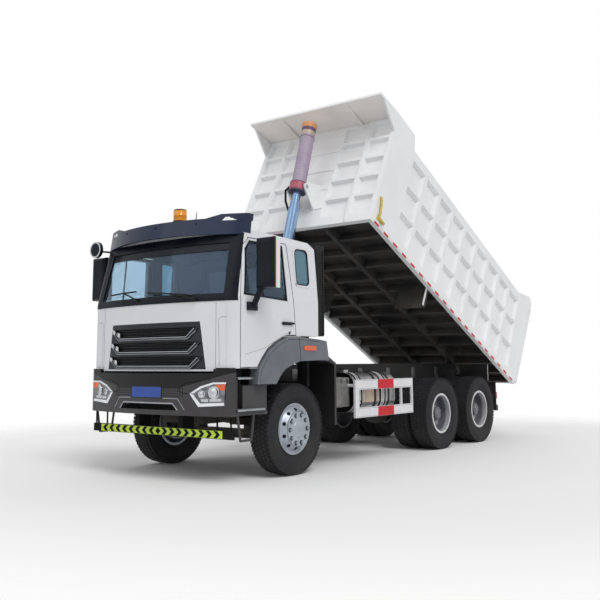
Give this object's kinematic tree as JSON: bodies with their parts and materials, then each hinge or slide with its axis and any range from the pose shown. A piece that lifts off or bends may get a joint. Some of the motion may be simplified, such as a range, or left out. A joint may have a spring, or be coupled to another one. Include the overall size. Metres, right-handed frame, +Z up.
{
  "type": "dump truck",
  "caption": "Forward-control dump truck with white cab, long panelled tipping bed raised on a front telescopic hoist, and twin-tyred rear axles.",
  "frame": {"origin": "on the ground under the middle of the truck's bounding box", "axes": "+X to the truck's left, +Y to the rear, +Z up; the front looks along -Y"},
  "size_m": [3.12, 8.6721, 5.2176],
  "materials": {
    "amber_lens": "gloss",
    "black_paint": "satin",
    "black_plastic": "matte",
    "cast_parts": "matte",
    "dark_grey_plastic": "matte",
    "hoist_paint": "satin",
    "hoist_rod": "gloss",
    "lamp_glass": "gloss",
    "mirror_shell": "gloss",
    "red_lens": "gloss",
    "seat_cloth": "matte",
    "silver_rim": "satin",
    "tank_metal": "satin",
    "tinted_glass": "gloss",
    "tyre_rubber": "matte",
    "white_paint": "gloss",
    "yellow_green_paint": "satin"
  },
  "bodies": {
    "chassis": {"air_intake": "black_plastic", "beacon": "amber_lens", "bogie_springs": "cast_parts", "bumper": "dark_grey_plastic", "cab_glass": "tinted_glass", "cab_interior": "seat_cloth", "cab_mounts": "black_paint", "cab_shell": "white_paint", "chassis_boxes": "black_paint", "crossmembers": "black_paint", "drive_axles": "cast_parts", "driveline": "cast_parts", "fenders": "dark_grey_plastic", "frame_rails": "black_paint", "front_axle": "cast_parts", "front_mirror": "mirror_shell", "front_springs": "cast_parts", "fuel_tank": "tank_metal", "headlamps": "lamp_glass", "rear_bar": "black_paint", "rear_guards": "black_plastic", "side_guards": "white_paint", "steps": "dark_grey_plastic", "subframe": "black_paint", "sun_visor": "mirror_shell", "tail_lamps": "red_lens", "tank_brackets": "black_paint", "underrun_bar": "yellow_green_paint"},
    "front_lid": {"front_lid": "white_paint", "grille": "dark_grey_plastic"},
    "bed": {"bed_floor": "black_paint", "bed_side_left": "white_paint", "bed_side_right": "white_paint", "bed_front": "white_paint"},
    "tailgate": {"tailgate": "white_paint"},
    "door_left": {"door_left": "white_paint", "door_glass_left": "tinted_glass", "mirror_left": "mirror_shell"},
    "door_right": {"door_right": "white_paint", "door_glass_right": "tinted_glass", "mirror_right": "mirror_shell"},
    "knuckle_left": {"knuckle_left": "cast_parts"},
    "knuckle_right": {"knuckle_right": "cast_parts"},
    "wheel_front_left": {"rim_front_left": "silver_rim", "tyre_front_left": "tyre_rubber"},
    "wheel_front_right": {"rim_front_right": "silver_rim", "tyre_front_right": "tyre_rubber"},
    "wheel_middle_left": {"rim_middle_left": "silver_rim", "tyres_middle_left": "tyre_rubber"},
    "wheel_middle_right": {"rim_middle_right": "silver_rim", "tyres_middle_right": "tyre_rubber"},
    "wheel_rear_left": {"rim_rear_left": "silver_rim", "tyres_rear_left": "tyre_rubber"},
    "wheel_rear_right": {"rim_rear_right": "silver_rim", "tyres_rear_right": "tyre_rubber"},
    "hoist_base": {"hoist_barrel": "hoist_paint"},
    "hoist_stage_2": {"hoist_stage_2": "hoist_rod"},
    "hoist_stage_3": {"hoist_stage_3": "hoist_rod"},
    "hoist_cover": {"hoist_cover": "hoist_paint", "hoist_plunger": "hoist_rod"}
  },
  "joints": [
    {"name": "bed_tilt", "type": "hinge", "parent": "chassis", "child": "bed", "pos_m": [0, 2.5489, 1.15], "axis": [-1, 0, 0], "range_deg": [-26.5, 18.5]},
    {"name": "tailgate_swing", "type": "hinge", "parent": "bed", "child": "tailgate", "pos_m": [0, 4.2061, 2.43564], "axis": [1, 0, 0], "range_deg": [0, 60]},
    {"name": "door_left_hinge", "type": "hinge", "parent": "chassis", "child": "door_left", "pos_m": [1.24, -4.0691, 1.9], "axis": [0, 0, -1], "range_deg": [0, 70]},
    {"name": "door_right_hinge", "type": "hinge", "parent": "chassis", "child": "door_right", "pos_m": [-1.24, -4.0691, 1.9], "axis": [0, 0, 1], "range_deg": [0, 70]},
    {"name": "front_lid_hinge", "type": "hinge", "parent": "chassis", "child": "front_lid", "pos_m": [0, -4.2911, 2], "axis": [-1, 0, 0], "range_deg": [0, 75]},
    {"name": "steer_left", "type": "hinge", "parent": "chassis", "child": "knuckle_left", "pos_m": [0.815, -2.9911, 0.54], "axis": [0, 0, 1], "range_deg": [-35, 35]},
    {"name": "steer_right", "type": "hinge", "parent": "chassis", "child": "knuckle_right", "pos_m": [-0.815, -2.9911, 0.54], "axis": [0, 0, 1], "range_deg": [-35, 35]},
    {"name": "wheel_front_left_spin", "type": "hinge", "parent": "knuckle_left", "child": "wheel_front_left", "pos_m": [1.01, -2.9911, 0.54], "axis": [1, 0, 0], "continuous": true},
    {"name": "wheel_front_right_spin", "type": "hinge", "parent": "knuckle_right", "child": "wheel_front_right", "pos_m": [-1.01, -2.9911, 0.54], "axis": [1, 0, 0], "continuous": true},
    {"name": "wheel_middle_left_spin", "type": "hinge", "parent": "chassis", "child": "wheel_middle_left", "pos_m": [0.915, 0.6089, 0.54], "axis": [1, 0, 0], "continuous": true},
    {"name": "wheel_middle_right_spin", "type": "hinge", "parent": "chassis", "child": "wheel_middle_right", "pos_m": [-0.915, 0.6089, 0.54], "axis": [1, 0, 0], "continuous": true},
    {"name": "wheel_rear_left_spin", "type": "hinge", "parent": "chassis", "child": "wheel_rear_left", "pos_m": [0.915, 1.9589, 0.54], "axis": [1, 0, 0], "continuous": true},
    {"name": "wheel_rear_right_spin", "type": "hinge", "parent": "chassis", "child": "wheel_rear_right", "pos_m": [-0.915, 1.9589, 0.54], "axis": [1, 0, 0], "continuous": true},
    {"name": "hoist_base_pivot", "type": "hinge", "parent": "chassis", "child": "hoist_base", "pos_m": [0, -2.29671, 1], "axis": [-1, 0, 0], "range_deg": [-13.26, 9.26]},
    {"name": "hoist_top_pivot", "type": "hinge", "parent": "bed", "child": "hoist_cover", "pos_m": [0, -1.44337, 3.9003], "axis": [-1, 0, 0], "range_deg": [-9.26, 13.26]},
    {"name": "stage_2_slide", "type": "slide", "parent": "hoist_base", "child": "hoist_stage_2", "axis": [0, 0.2823, 0.9593], "range_m": [-0.85616, 0.59784]},
    {"name": "stage_3_slide", "type": "slide", "parent": "hoist_cover", "child": "hoist_stage_3", "axis": [0, -0.2823, -0.9593], "range_m": [-0.42509, 0.29691]}
  ],
  "couplings": [
    {"joint": "hoist_base_pivot", "follows": "bed_tilt", "ratio": 0.5},
    {"joint": "hoist_top_pivot", "follows": "bed_tilt", "ratio": -0.5},
    {"joint": "stage_2_slide", "follows": "bed_tilt", "m_per_rad": 1.85},
    {"joint": "stage_3_slide", "follows": "bed_tilt", "m_per_rad": 0.91801},
    {"joint": "steer_right", "follows": "steer_left", "ratio": 1}
  ]
}
